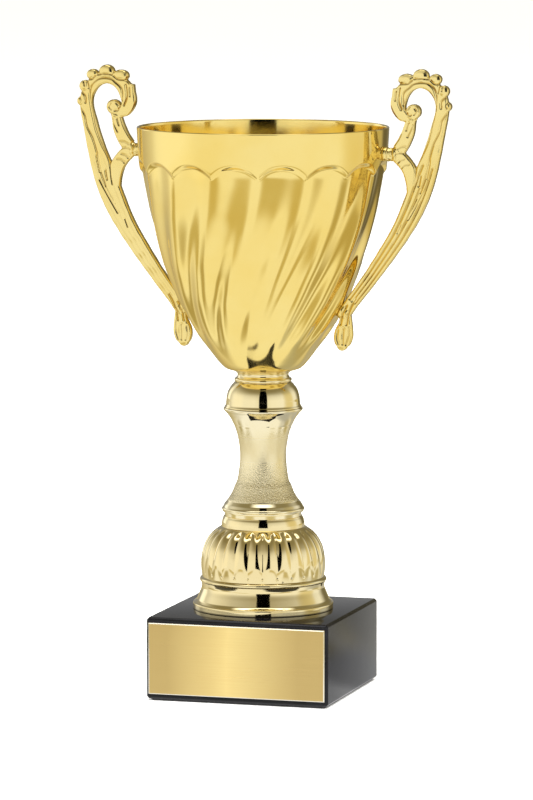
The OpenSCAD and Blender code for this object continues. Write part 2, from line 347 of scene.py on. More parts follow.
def frosted_gold(name, light, deep, low, high):
    """Polished gold whose waist, between the heights low and high in metres, is stippled."""
    n = Nodes(name)
    height = n.node("ShaderNodeSeparateXYZ", Vector=n.coords).outputs["Z"]
    rise = n.spread(height, 0.0, 1.0, low, low + 0.001)
    fall = n.spread(height, 1.0, 0.0, high - 0.005, high)
    band = n.times(rise, fall)
    coarse = n.spread(height, 1.0, 0.25, low + 0.004, low + 0.017)
    grain = n.noise(1500, 3, 0.6)
    colour = n.ramp(n.noise(40, 4, 0.6), (0.35, deep), (0.62, light))
    speck = n.times(n.times(n.spread(grain, 0.0, 0.35, 0.35, 0.7), band), coarse)
    colour = n.mix(speck, colour, (deep[0] * 0.8, deep[1] * 0.75, deep[2] * 0.6))
    # Polished ends, a satin upper waist and a coarser, glossier lower one
    satin_rough = n.combine("SUBTRACT", 0.24, n.times(coarse, 0.14))
    rough = n.add(0.07, n.times(band, satin_rough))
    bump = n.bump(n.times(n.times(grain, band), coarse), 0.0006, 1.0)
    return n.set(Base_Color=colour, Metallic=1.0, Roughness=rough, Normal=bump)


def brushed_gold(name, light, deep):
    """Plate stock brushed along its length, lacquered."""
    n = Nodes(name)
    streak = n.noise(1.0, 5, 0.6, n.mapped((18, 18, 2600)))
    cloud = n.noise(26, 3, 0.5)
    blend = n.add(n.times(streak, 0.45), n.times(cloud, 0.55))
    mixed = n.ramp(blend, (0.4, deep), (0.6, light))
    # Painted reflection: the colour is brighter along the middle and darker towards both ends, standing in for
    # a light mirrored in the plate
    split = n.node("ShaderNodeSeparateXYZ", Vector=n.coords)
    wander = n.add(split.outputs["X"], n.times(n.noise(14, 2), 0.02))
    across = n.spread(wander, 0.0, 1.0, -0.02, 0.06)
    painted_reflection_mask = n.ramp(across, (0.0, (1, 1, 1)), (0.34, (0, 0, 0)), (0.75, (1, 1, 1)))
    colour = n.mix(painted_reflection_mask, mixed, (light[0] * 0.6, light[1] * 0.55, light[2] * 0.5))
    rough = n.spread(streak, 0.27, 0.4)
    bump = n.bump(streak, 0.000012, 0.6)
    return n.set(Base_Color=colour, Metallic=1.0, Roughness=rough, Normal=bump, Anisotropic=0.5,
                 Coat_Weight=0.25, Coat_Roughness=0.12)


def bright_cut(name):
    """The plate's bevel, cut through the gold into bright aluminium."""
    n = Nodes(name)
    cut = n.noise(1.0, 3, 0.6, n.mapped((400, 400, 3000)))
    colour = n.ramp(cut, (0.35, (0.93, 0.86, 0.66)), (0.65, (0.98, 0.95, 0.86)))
    return n.set(Base_Color=colour, Metallic=1.0, Roughness=n.spread(cut, 0.12, 0.25),
                 Normal=n.bump(cut, 0.00001, 0.5))


def black_marble(name):
    """Polished black stone: faint grey clouding, thin broken veins and a slightly uneven polish."""
    n = Nodes(name)
    cloud = n.noise(35, 6, 0.65, distortion=0.6)
    # Veins run along the borders of large cells, bent by a slow noise
    slow = n.node("ShaderNodeTexNoise", Vector=n.coords, Scale=30.0, Detail=4.0)
    offset = n.node("ShaderNodeVectorMath", Vector=slow.outputs["Color"])
    offset.operation = "SCALE"
    offset.inputs["Scale"].default_value = 0.03
    bent = n.node("ShaderNodeVectorMath")
    bent.operation = "ADD"
    n.link(n.coords, bent.inputs[0])
    n.link(offset.outputs[0], bent.inputs[1])
    vein = n.node("ShaderNodeTexVoronoi", Vector=bent.outputs[0], Scale=24.0)
    vein.feature = "DISTANCE_TO_EDGE"
    line = n.spread(vein.outputs["Distance"], 0.5, 0.0, 0.0, 0.012)
    broken = n.times(line, n.spread(cloud, 0.0, 1.0, 0.52, 0.7))
    ground = n.ramp(cloud, (0.35, (0.0025, 0.0025, 0.003)), (0.75, (0.009, 0.009, 0.011)))
    colour = n.mix(broken, ground, (0.035, 0.035, 0.04))
    rough = n.spread(n.noise(90, 4, 0.6), 0.05, 0.11)
    bump = n.bump(n.noise(700, 3, 0.6), 0.00001, 0.5)
    return n.set(Base_Color=colour, Roughness=rough, IOR=1.3, Normal=bump)


def felt(name):
    """Short black pile, matt with a faint sheen."""
    n = Nodes(name)
    fibre = n.noise(2600, 4, 0.75)
    colour = n.ramp(fibre, (0.35, (0.012, 0.012, 0.014)), (0.7, (0.05, 0.05, 0.056)))
    return n.set(Base_Color=colour, Roughness=0.95, Sheen_Weight=0.4, Normal=n.bump(fibre, 0.0002, 0.9))


def tape(name):
    """White foam tape with a fine open grain."""
    n = Nodes(name)
    colour = n.ramp(n.noise(400, 3), (0.35, (0.72, 0.71, 0.67)), (0.7, (0.84, 0.83, 0.8)))
    return n.set(Base_Color=colour, Roughness=0.6, Normal=n.bump(n.noise(1800, 2), 0.00003, 0.5))


def zinc(name):
    """Zinc-plated steel, cloudy and a little dull."""
    n = Nodes(name)
    colour = n.ramp(n.noise(260, 4, 0.6), (0.35, (0.44, 0.45, 0.47)), (0.65, (0.66, 0.67, 0.68)))
    rough = n.spread(n.noise(700, 3), 0.22, 0.4)
    bump = n.bump(n.noise(1500, 3), 0.00003, 0.5)
    return n.set(Base_Color=colour, Metallic=1.0, Roughness=rough, Normal=bump)


# Lighter and deeper tone of each gold
BOWL_LIGHT, BOWL_DEEP = (0.88, 0.70, 0.25), (0.86, 0.65, 0.19)
STEM_LIGHT, STEM_DEEP = (0.88, 0.77, 0.46), (0.85, 0.71, 0.38)
satin = gold("satin_gold", BOWL_LIGHT, BOWL_DEEP, 0.09)
polished = gold("polished_gold", STEM_LIGHT, STEM_DEEP, 0.07, dents=0.00002, scratch=0.4)
cast = gold("cast_gold", (0.86, 0.70, 0.28), (0.84, 0.65, 0.22), 0.14, crevice=0.9, scratch=0.3)
plate_gold = brushed_gold("brushed_gold", (1.0, 0.79, 0.32), (0.94, 0.71, 0.27))
plate_edge = bright_cut("bright_cut")
marble = black_marble("black_marble")
felt_black = felt("felt")
tape_white = tape("tape")
zinc_steel = zinc("zinc_steel")


# ---------------- bowl

BOWL_Z = bottom_mm("cup_bowl")
BOWL_H = top_mm("cup_bowl") - BOWL_Z
LIP_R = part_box("cup_bowl")[1].x / MM

# Outlines as (height above the underside, outside radius): the ridges between the flutes, the band above them
RIDGE_LINE = spline([(0.05, 13.2), (0.8, 15.8), (2.4, 17.8), (5.4, 20.3), (10.2, 24), (15.4, 28), (22, 32.1),
                     (29.8, 36.1), (37.6, 39.3), (46.2, 42.6), (56.4, 45.6), (66.6, 48.1), (76.9, 50),
                     (84, 51.2), (88, 51.6), (92, 51.9)], 10)
BAND_LINE = spline([(76, 51.9), (84, 52.3), (88, 52.7), (92, 53.05), (98, 53.4), (BOWL_H, LIP_R)], 10)


def flute_section(u, h):
    """Depth across a flute, 0 on the ridges and 1 in the middle. Lower down the ridges are broader."""
    wave = 0.5 - 0.5 * np.cos(TAU * u)
    power = 1.3 - 0.35 * smoothstep(20, 84, h)
    return wave ** power


def bowl_radius(h, angle):
    """Outside radius of the bowl at height h above its underside, and angle from -Y towards +X."""
    down = np.clip((SCALLOP_LOW - h) / SCALLOP_LOW, 0, 1)
    twist = FLUTE_TWIST * down ** FLUTE_TWIST_POWER
    u = ((angle - FLUTE_CUSP + twist) * FLUTES / TAU) % 1.0
    across = np.abs(2 * u - 1)
    scallop = SCALLOP_LOW + SCALLOP_RISE * (1 - across ** 2.3)
    below = scallop - h
    ledge = smoothstep(0.0, LEDGE, below)
    ridge = np.interp(h, RIDGE_LINE[:, 0], RIDGE_LINE[:, 1])
    band = np.where(h > BAND_LINE[0, 0], np.interp(h, BAND_LINE[:, 0], BAND_LINE[:, 1]), ridge)
    # The flutes are shallower towards the scallops, and fade out on the bottom and round the lower seats
    depth = FLUTE_DEPTH * (ridge / 50) ** 0.6
    depth = depth * smoothstep(5, 20, h) * (1 - 0.4 * smoothstep(40, 80, h))
    for side in (-1, 1):
        along = (angle - side * TAU / 4 + math.pi) % TAU - math.pi
        distance = np.hypot(along * ridge, h - SEAT_LOW)
        depth = depth * (1 - 0.85 * np.exp(-(distance / 6.5) ** 4))
    # Pressed sheet is never quite even
    uneven = 0.03 * np.sin(h * 0.31 + 1.7 * np.sin(angle * 5)) * np.sin(angle * 9 + h * 0.1 + 1.3)
    fluted = ridge - depth * flute_section(u, h) + uneven * smoothstep(1.5, 8, h)
    return band + (fluted - band) * ledge


def make_bowl():
    """The pressed bowl, in rows of vertices: up the outside, down the inside and out again underneath."""
    segments = FLUTES * 30
    low = np.linspace(0, 1, 24) ** 1.2 * 8
    heights = np.concatenate([low, np.linspace(8, 80, 110)[1:], np.linspace(80, 93, 56)[1:],
                              np.linspace(93, BOWL_H - 0.5, 14)[1:]])
    angle = np.arange(segments) * TAU / segments
    h, a = np.meshgrid(heights, angle, indexing="ij")
    outer = bowl_radius(np.maximum(h, 0.05), a)
    # The inside follows the outside one wall away, measured square to the wall
    slope = np.gradient(outer, heights, axis=0)
    drop = BOWL_WALL / np.sqrt(1 + slope ** 2)
    inner = outer - drop
    z_in = h + drop * slope
    floor = BOWL_WALL + 0.4
    keep = np.where(z_in.min(1) > floor)[0]
    rows = list(zip(outer, h))
    lip = arc(0, 0, BOWL_WALL / 2, 15, 165, 8)
    mid = LIP_R - BOWL_WALL / 2
    for x, y in lip:
        rows.append((np.full(segments, mid + x), np.full(segments, BOWL_H - BOWL_WALL / 2 + y)))
    rows += [(inner[i], z_in[i]) for i in keep[::-1]]
    first = inner[keep[0]].mean()
    rows.append((np.full(segments, first - 1.0), np.full(segments, floor + 0.12)))
    for r in np.linspace(first - 1.6, ROD_HOLE_R, 6):
        rows.append((np.full(segments, r), np.full(segments, floor)))
    for r in np.linspace(ROD_HOLE_R, 12.4, 6):
        rows.append((np.full(segments, r), np.zeros(segments)))
    verts = [np.column_stack([r * np.sin(angle), -r * np.cos(angle), z + BOWL_Z]) for r, z in rows]
    bowl = make_object("fluted_bowl", np.vstack(verts), grid_faces(len(rows), segments, True), 50)
    finish_piece(bowl, satin, "satin_gold", "cup_bowl")


# ---------------- stem

def make_foot():
    """The hollow foot: flange, scotia, bead, dome with lobes, and collar."""
    base = bottom_mm("foot_dome")
    outside = np.vstack([
        [(29.7, 0), (30.0, 0.12), (30.1, 0.4)],
        arc(29.5, 2.4, 0.6, 0, 80, 6),
        spline([(28.4, 4.1), (27.4, 6.6), (26.5, 8.8), (26.3, 10.1), (26.5, 11.2)], 8),
        arc(26.2, 12.7, 1, -62, 62, 12),
        spline([(26.1, 14), (26.55, 17), (26.6, 20.5), (26.1, 24.4), (24.9, 28.3), (22.4, 32.2),
                (18.6, 35.1)], 14),
        [(17.8, 35.5), (17.72, 37.2)],
        spline([(17.6, 37.8), (17.3, 38.9), (16.95, 39.6), (16.8, 40)], 4),
    ])
    inside = np.array([(ROD_HOLE_R, 40), (ROD_HOLE_R, 35.4), (9, 35.4), (16, 34.2), (20.6, 31.4), (23.2, 27),
                       (24.6, 20), (24.8, 5.4), (27.9, 1.6), (27.9, 0)])
    loop = np.vstack([outside, inside])
    loop[:, 1] += base

    def lobes(r, z, angle):
        """Cuts the valleys between the lobes, and a small pit at the foot of each valley."""
        h = z - base
        outer = r > np.interp(h, [0, 5.4, 20, 27, 31.4, 34.2, 40], [29, 25.4, 25.2, 23.9, 21.4, 17.2, 17.2])
        up = smoothstep(12.0, 30, h) * (1 - smoothstep(33.2, 35.2, h)) * outer
        wave = np.abs(np.sin((angle - GADROON_VALLEY) * GADROONS / 2))
        pits = 0.45 * np.exp(-((h - 15.8) / 0.4) ** 2 - (wave / 0.13) ** 2) * outer
        return r - up * GADROON_DEPTH * (1 - wave) - pits

    foot = turned("gadrooned_foot", densify(loop, 0.6), GADROONS * 20, lobes, 40)
    finish_piece(foot, polished, "polished_gold", "foot_dome")


def make_column():
    """The hollow waisted column, stippled between its flared ends."""
    base = bottom_mm("stem_column")
    flare = spline([(16.6, 5.2), (14.6, 7.8), (13.1, 10.4), (12.1, 13), (11, 15.6), (10.2, 20.7),
                    (9.85, 25.9), (10.3, 31.1), (11.4, 36.3), (13.6, 41.4), (15.4, 44), (16.7, 45.4)], 12)
    outside = np.vstack([
        [(16.3, 0), (16.4, 0.1), (16.4, 1.5), (17.2, 1.9)],
        arc(16.9, 3.1, 0.8, -50, 60, 8),
        flare,
        [(16.95, 45.8), (17.0, 46.0), (16.95, 46.3), (16.8, 46.55)],
    ])
    inside = np.array([(ROD_HOLE_R, 46.55), (ROD_HOLE_R, 44.2), (13.2, 44.2), (10.2, 37.4), (8.5, 25.9),
                       (10.4, 13.6), (14.8, 3), (ROD_HOLE_R, 2.2), (ROD_HOLE_R, 0)])
    loop = np.vstack([outside, inside])
    loop[:, 1] += base

    def stipple(r, z, angle):
        """Roughens the waist, more so lower down, and turns one fine line above it."""
        h = z - base
        outer = r > 9.3
        band = smoothstep(6, 10, h) * (1 - smoothstep(36.5, 40, h)) * outer
        points = np.column_stack([(r * np.sin(angle)).ravel(), (r * np.cos(angle)).ravel(), z.ravel()])
        grain = value_noise(points, 0.8, 5).reshape(r.shape)
        groove = np.exp(-((h - 39.0) / 0.35) ** 2) * outer * 0.07
        coarse = 0.004 + 0.02 * (1 - smoothstep(12, 22, h))
        return r - groove + band * coarse * (grain - 1)

    column = turned("frosted_column", densify(loop, 0.4), 300, stipple, 40)
    light, deep = (0.9, 0.81, 0.55), (0.87, 0.76, 0.46)
    frosted = frosted_gold("frosted_gold", light, deep, (base + 6.6) * MM, (base + 39) * MM)
    finish_piece(column, frosted, "frosted_gold", "stem_column")


def make_knob():
    """The half-ball on top of the column."""
    base = bottom_mm("stem_knob")
    outside = np.vstack([
        [(16.4, 0.02), (16.5, 0.15), (16.45, 0.5), (16.2, 0.8)],
        spline([(15.9, 1.4), (15.75, 3), (15.6, 4.6), (15, 6.9), (14, 8.8), (12.6, 10.5)], 12),
        [(12.3, 10.75), (12.1, 10.95)],
    ])
    inside = np.array([(ROD_HOLE_R, 10.95), (ROD_HOLE_R, 8.4), (11, 8.4), (13.5, 6), (14.3, 3), (14.4, 0.02)])
    loop = np.vstack([outside, inside])
    loop[:, 1] += base
    finish_piece(turned("stem_ball", densify(loop, 1.0), 192), polished, "polished_gold", "stem_knob")


def make_collar():
    """The ringed collar under the bowl."""
    base = bottom_mm("cup_collar")
    outside = np.vstack([
        [(11.6, 0.02), (11.8, 0.05)],
        arc(11.4, 0.95, 0.88, -62, 70, 10),
        spline([(11.35, 1.95), (10.9, 3), (11.2, 3.9), (12.0, 4.5)], 8),
        [(12.4, 4.75), (12.55, 4.98)],
    ])
    loop = np.vstack([outside, [(ROD_HOLE_R, 4.98), (ROD_HOLE_R, 0.02)]])
    loop[:, 1] += base
    collar = turned("ringed_collar", densify(loop, 1.0), 160)
    finish_piece(collar, polished, "polished_gold", "cup_collar")


def make_rod():
    """The clamping rod with its real thread and chamfered ends."""
    low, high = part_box("threaded_rod")
    z0, z1 = low.z / MM, high.z / MM
    r = high.x / MM
    segments = 32
    z = np.append(np.arange(z0, z1 + 1e-6, THREAD_PITCH / 4), z1)
    zz, a = np.meshgrid(z, np.arange(segments) * TAU / segments, indexing="ij")
    phase = (zz / THREAD_PITCH - a / TAU) % 1.0
    cut = THREAD_DEPTH * np.abs(2 * phase - 1)
    end = np.minimum(zz - z0, z1 - zz)
    rr = np.minimum(r - cut, r - 0.7 + end)
    verts = np.stack([rr * np.sin(a), -rr * np.cos(a), zz], -1).reshape(-1, 3)
    count = len(verts)
    verts = np.vstack([verts, [(0, 0, z0), (0, 0, z1)]])
    faces = grid_faces(len(z), segments) + end_fans(count, segments)
    rod = make_object("threaded_m6_rod", verts, faces, 30)
    finish_piece(rod, zinc_steel, "zinc_steel", "threaded_rod")


# ---------------- base

def make_marble():
    """The chamfered block, drilled for the rod and counterbored from below."""
    low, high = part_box("marble_base")
    centre = (low + high) / 2
    chamfer = BLOCK_CHAMFER * MM
    mesh = bpy.data.meshes.new("marble_block")
    piece = add_object("marble_block", mesh)
    x, y, z = (high - low) / 2
    verts = []
    for sx in (-1, 1):
        for sy in (-1, 1):
            for sz in (-1, 1):
                verts += [(sx * x, sy * (y - chamfer), sz * (z - chamfer)),
                          (sx * (x - chamfer), sy * y, sz * (z - chamfer)),
                          (sx * (x - chamfer), sy * (y - chamfer), sz * z)]
    bm = bmesh.new()
    for v in verts:
        bm.verts.new(v)
    bmesh.ops.convex_hull(bm, input=bm.verts)
    bmesh.ops.dissolve_limit(bm, angle_limit=math.radians(1), verts=bm.verts, edges=bm.edges)
    bmesh.ops.bevel(bm, geom=list(bm.edges), offset=BLOCK_EDGE_R * MM, segments=3, profile=0.5,
                    affect="EDGES")
    bmesh.ops.recalc_face_normals(bm, faces=bm.faces)
    bm.to_mesh(mesh)
    bm.free()
    mesh.shade_smooth()
    mesh.set_sharp_from_angle(angle=math.radians(40))
    # Each cutter starts 1 mm below the block, and the rod hole's ends 1 mm above it
    z0 = low.z - MM
    for r, z1 in ((ROD_HOLE_R, high.z + MM), (COUNTERBORE_R, low.z + COUNTERBORE_DEPTH * MM)):
        bpy.ops.mesh.primitive_cylinder_add(vertices=96, radius=r * MM, depth=z1 - z0,
                                            location=(0, 0, (z0 + z1) / 2 - centre.z))
        cutter = bpy.context.object
        hole = piece.modifiers.new("hole", "BOOLEAN")
        hole.operation = "DIFFERENCE"
        hole.object = cutter
        hole.solver = "EXACT"
        apply_modifiers(piece)
        bpy.data.objects.remove(cutter)
    piece.data.transform(Matrix.Translation(centre))
    piece.data.set_sharp_from_angle(angle=math.radians(30))
    finish_piece(piece, marble, "black_marble", "marble_base")


def make_plate():
    """The engraving plate: a brushed face with a bright-cut bevel round it."""
    low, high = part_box("engraving_plate")
    bevel = PLATE_BEVEL * MM
    rings = []
    for inset, y in ((0, high.y), (0, low.y + bevel), (bevel * 0.15, low.y + bevel * 0.75), (bevel, low.y)):
        rings.append([(low.x + inset, y, low.z + inset), (high.x - inset, y, low.z + inset),
                      (high.x - inset, y, high.z - inset), (low.x + inset, y, high.z - inset)])
    verts = [v for ring in rings for v in ring]
    faces = [(3, 2, 1, 0), (12, 13, 14, 15)]
    for i in range(3):
        for j in range(4):
            k = (j + 1) % 4
            faces.append((4 * i + j, 4 * i + k, 4 * i + 4 + k, 4 * i + 4 + j))
    mesh = bpy.data.meshes.new("brushed_plate")
    mesh.from_pydata(verts, [], faces)
    finish_piece(add_object("brushed_plate", mesh), plate_gold, "brushed_gold", "engraving_plate")
    # The last two rings of faces are the bevel
    mesh.materials.append(plate_edge)
    for face in mesh.polygons[6:]:
        face.material_index = 1


# ---------------- handles

# Strokes are (radius from the axis, height above the bowl's underside, half width)
LEG = [(35.6, 24.5, 2.8), (40, 30.6, 2.8), (46.8, 39.6, 3.1), (54, 49.8, 3.6), (60.4, 59.6, 4.1),
       (65.6, 69.6, 4.8), (69.4, 79, 5.0), (72.6, 88, 4.4), (75, 96, 3.6), (77, 104, 3.1), (78.6, 111.4, 2.8),
       (78, 117, 2.7), (74.8, 121.6, 2.6), (69.8, 123.6, 2.5), (64.8, 122.4, 2.7), (61, 118.6, 3.3),
       (59.6, 113.6, 3.2), (61.4, 109.6, 2.4), (64.6, 109, 2.0)]
NECK = [(65.6, 110, 2.0), (64.9, 106.4, 2.2), (64, 102.4, 2.6), (62.2, 98.4, 2.8), (60, 95, 2.9)]
BRIDGE = [(60, 94.4, 2.9), (57.2, 92.9, 2.7), (53.4, 93.0, 2.6), (51.5, 93.2, 2.6)]
BRANCH = [(58, 93.4, 2.8), (60.4, 91.6, 3.0), (64, 87.4, 3.0), (66.4, 81.6, 3.4), (67.4, 75, 3.8)]
FOOT = [(36.2, 26.6, 2.3), (36.6, 21.4, 2.9), (35.8, 16.4, 4.2), (35.3, 12.6, 3.6), (35.1, 10.6, 2.0)]
LEAF = [(58.2, 121.0, 0.9), (58.4, 118.6, 1.4), (58.6, 115.4, 1.6), (60, 112.2, 1.5)]
SPUR = [(75.4, 92, 1.2), (75.5, 88.5, 1.3), (74.4, 85, 1.2)]
# The scroll's eye: centre and radius
EYE_X, EYE_Z, EYE_R = 66.3, 111.2, 3.15
# Petals along the crest: centre, half width and half height
PETALS = [(81.2, 113.5, 1.45, 1.8), (79.4, 120.0, 2.3, 2.5), (75.8, 124.9, 2.6, 2.3),
          (69.5, 126.2, 3.4, 2.95), (63.2, 124.6, 3.5, 2.5)]


def sweep(stroke, half_y, squareness, steps=8, ring=20):
    """Closed tube along a stroke, half_y thick each way: oval in section at squareness 1, boxy near 0."""
    line = spline(stroke, steps)
    tangent = np.gradient(line[:, :2], axis=0)
    tangent /= np.linalg.norm(tangent, axis=1)[:, None]
    side = np.column_stack([-tangent[:, 1], tangent[:, 0]])
    a = np.arange(ring) * TAU / ring
    c = np.sign(np.cos(a)) * np.abs(np.cos(a)) ** squareness
    s = np.sign(np.sin(a)) * np.abs(np.sin(a)) ** squareness
    verts = []
    for (x, z, half), (nx, nz) in zip(line, side):
        for u, v in zip(c, s):
            verts.append((x + nx * half * u, half_y * v, z + nz * half * u))
    count = len(verts)
    verts += [(line[0, 0], 0.0, line[0, 1]), (line[-1, 0], 0.0, line[-1, 1])]
    return verts, grid_faces(len(line), ring) + end_fans(count, ring)


def ball(centre, radii, rows=12, cols=24):
    """Closed ellipsoid with its poles on Y."""
    verts = [(0, 1, 0)]
    for i in range(1, rows):
        p = math.pi * i / rows
        for j in range(cols):
            q = TAU * j / cols
            verts.append((math.sin(p) * math.cos(q), math.cos(p), math.sin(p) * math.sin(q)))
    verts.append((0, -1, 0))
    faces = []
    for j in range(cols):
        k = (j + 1) % cols
        faces.append((0, 1 + j, 1 + k))
        faces.append((len(verts) - 1, 1 + (rows - 2) * cols + k, 1 + (rows - 2) * cols + j))
        for i in range(rows - 2):
            a, b = 1 + i * cols, 1 + (i + 1) * cols
            faces.append((a + k, a + j, b + j, b + k))
    return np.array(centre) + np.array(radii) * np.array(verts), faces


def torus(centre, axis, major, minor, squash=1.0, rows=32, ring=10):
    """Closed ring about an axis. squash scales the second direction across the axis."""
    axis = np.array(axis, float) / np.linalg.norm(axis)
    first = np.cross(axis, (0, 1, 0) if abs(axis[1]) < 0.9 else (1, 0, 0))
    first /= np.linalg.norm(first)
    second = np.cross(axis, first)
    verts = []
    for i in range(rows):
        p = TAU * i / rows
        out = first * math.cos(p) + second * math.sin(p) * squash
        for j in range(ring):
            q = TAU * j / ring
            verts.append(np.array(centre) + out * (major + minor * math.cos(q)) + axis * minor * math.sin(q))
    return verts, grid_faces(rows, ring, True)


def seat_direction(h):
    """Outward direction of the bowl's wall at height h, as (radius, height)."""
    below, above = np.interp([h - 1, h + 1], RIDGE_LINE[:, 0], RIDGE_LINE[:, 1])
    slope = (above - below) / 2
    return np.array([1, -slope]) / math.hypot(1, slope)


def handle_parts():
    """The shapes cast into one handle, in radius, depth and height above the bowl's underside."""
    half = HANDLE_HALF
    flat = 0.3
    parts = [
        sweep(LEG, half, flat),
        sweep(NECK, half, flat),
        sweep(BRIDGE, half * 1.05, 0.9),
        sweep(BRANCH, half, flat),
        sweep(FOOT, half * 0.95, 0.5),
        sweep(LEAF, half, flat),
        sweep(SPUR, half, flat),
        disc((35.2, 0, 11.4), (0, 1, 0), 2.2, half * 0.9),
    ]
    # Crest: a row of pillowed petals
    for x, z, rx, rz in PETALS:
        parts.append(disc((x, 0, z), (0, 1, 0), rx, half, rz / rx))
        for face in (-1, 1):
            parts.append(ball((x, face * (half - 0.25), z), (rx * 0.85, 0.6, rz * 0.85)))
    # The scroll's eye, and the ring under it
    parts.append(disc((EYE_X, 0, EYE_Z), (0, 1, 0), EYE_R, half + 0.22))
    parts.append(torus((65.5, 0, 107.6), (-0.2, 0, 1), 2.0, 0.45, 0.95))
    # Turned rings on the bridge to the bowl
    for x, r in ((58.0, 2.9), (56.5, 2.6), (55.0, 2.7)):
        parts.append(torus((x, 0, 93.0), (1, 0, 0.1), r - 0.25, 0.6, 0.8))
    # Stepped bosses on the bowl's wall
    seats = ((SEAT_HIGH, BAND_LINE, (1.0, -0.03)), (SEAT_LOW, RIDGE_LINE, seat_direction(SEAT_LOW)))
    for h, line, way in seats:
        wall = np.interp(h, line[:, 0], line[:, 1])
        for reach, r in ((0.9, 3.1), (2.4, 2.7)):
            parts.append(disc((wall + way[0] * reach, 0, h + way[1] * reach), (way[0], 0, way[1]), r, 1.1))
    return parts


def disc(centre, axis, r, half, squash=1.0, ring=28):
    """Closed short cylinder with softened rims. squash scales the second direction across the axis."""
    axis = np.array(axis, float) / np.linalg.norm(axis)
    first = np.array([1.0, 0.0, 0.0]) if abs(axis[1]) > 0.9 else np.array([0.0, 1.0, 0.0])
    second = np.cross(axis, first)
    verts = []
    rows = ((-half, r * 0.9), (-half * 0.7, r), (half * 0.6, r), (half, r * 0.85))
    for t, radius in rows:
        for j in range(ring):
            q = TAU * j / ring
            out = first * math.cos(q) + second * math.sin(q) * squash
            verts.append(np.array(centre) + axis * t + out * radius)
    count = len(verts)
    verts += [np.array(centre) - axis * half, np.array(centre) + axis * half]
    return verts, grid_faces(len(rows), ring) + end_fans(count, ring)


def join_parts(name, parts):
    """One object from many closed shapes that may overlap."""
    verts, faces = [], []
    for v, f in parts:
        start = len(verts)
        verts += list(v)
        faces += [tuple(i + start for i in face) for face in f]
    return make_object(name, verts, faces)


def distance_to_line(points, line):
    """Shortest distance from each 2D point to a polyline."""
    best = np.full(len(points), 1e9)
    for a, b in zip(line[:-1], line[1:]):
        d = b - a
        t = np.clip(((points - a) @ d) / max(d @ d, 1e-9), 0, 1)
        best = np.minimum(best, np.hypot(*(points - a - t[:, None] * d).T))
    return best


# Carved lines as (points in radius and height above the bowl's underside, depth and width in mm)
GROOVES = [
    # From the lowest petal down the middle of the leg
    ([(81, 110.4), (78.9, 107.3), (77.9, 102.6), (75.2, 97.2), (73.4, 91), (72, 84), (69.6, 77)], 0.42, 0.4),
    # Strip round the inside of the loop, as far as the scroll
    ([(67.9, 89.6), (71.6, 95.6), (74.2, 102.6), (75.6, 109.6), (76.6, 116), (75.8, 120.2), (73.8, 122.5),
      (71.3, 123.5), (67.2, 123.2), (64.8, 121.5), (63.1, 120), (62.1, 118), (62.1, 114.1)], 0.45, 0.4),
    # Under the petals
    ([(78.3, 123.3), (75.8, 123.0), (74, 124.5)], 0.4, 0.35),
    ([(73.2, 124.9), (70.1, 125.3), (66.6, 125.0)], 0.4, 0.35),
    ([(66, 124.4), (63.9, 123.0), (60.3, 122.9)], 0.4, 0.35),
    ([(79.3, 121.7), (78.9, 120.1)], 0.35, 0.35),
    ([(77.7, 121.9), (77.1, 119.2)], 0.45, 0.35),
    ([(80.6, 117.6), (78.7, 115.6), (78.6, 112.9)], 0.5, 0.4),
    ([(81.2, 115.2), (80.6, 113.6), (81.2, 112.7)], 0.35, 0.3),
    # Leaf beside the scroll, the scroll's curl and its collar
    ([(60.5, 120.8), (60.1, 117.7), (60.2, 114.6), (61.3, 112)], 0.55, 0.4),
    ([(58.9, 119.4), (58.7, 115.9)], 0.45, 0.35),
    ([(64.8, 112.9), (63.6, 111.4), (64.0, 109.9), (65.4, 109.6)], 0.4, 0.35),
    ([(67.2, 112.6), (67.9, 111.2), (67, 110)], 0.25, 0.35),
    ([(66.4, 105.8), (65.9, 103.9), (64.2, 100.6)], 0.3, 0.4),
    ([(64.4, 106.2), (63.6, 103.4)], 0.35, 0.4),
    # Ribs across the bridge
    ([(63.2, 96.4), (61.4, 96.4), (59.6, 95.5)], 0.2, 0.4),
    ([(62.9, 93.6), (60.4, 93.8), (58.3, 92.8), (57, 91)], 0.2, 0.4),
    ([(62.6, 91.1), (60.8, 90.6), (59.2, 89.2)], 0.2, 0.4),
    ([(64.6, 88.8), (62.9, 88.7), (61.2, 87.4)], 0.2, 0.4),
    # Flowing lines from the fork down the leg
    ([(67.6, 88.4), (67.4, 83), (66.6, 78)], 0.3, 0.4),
    ([(72.4, 80), (69.7, 74.8), (64.2, 65.7)], 0.3, 0.4),
    ([(69.7, 77.4), (65.5, 69.6)], 0.2, 0.4),
    ([(69.7, 84), (69, 80)], 0.45, 0.4),
    ([(73.6, 92), (73.5, 89), (72.4, 83.2)], 0.45, 0.35),
    ([(61, 63.2), (59.8, 59.8)], 0.3, 0.35),
    # Ankle and foot
    ([(41.4, 31.6), (39.5, 28.2), (38.1, 24.3), (37.4, 20.4)], 0.5, 0.4),
    ([(37.4, 28.6), (36, 25.7), (35.1, 22.8), (34.7, 20.5)], 0.5, 0.4),
    ([(38.4, 19.6), (38.3, 15.6), (37.2, 12)], 0.32, 0.45),
    ([(35.9, 18.6), (35.8, 15), (35.8, 12)], 0.32, 0.45),
    ([(33.5, 18), (33.2, 15), (33.9, 12)], 0.28, 0.45),
]
# Ribs that follow the lower leg: offset across it as a share of its half width, first and last point of LEG
LEG_RIBS = [(-0.5, 1, 7), (0.0, 1, 6), (0.5, 1, 7)]
LEG_RIB_WIDTH = 0.48
# The casting's two faces were finished differently: the ribs are crisp on one and worn on the other
LEG_RIB_CRISP, LEG_RIB_WORN = 0.38, 0.07


def nearness(points, line, width):
    """1 on a line and towards 0 away from it, for points seen along Y."""
    return np.exp(-(distance_to_line(points[:, [0, 2]], line) / width) ** 2)


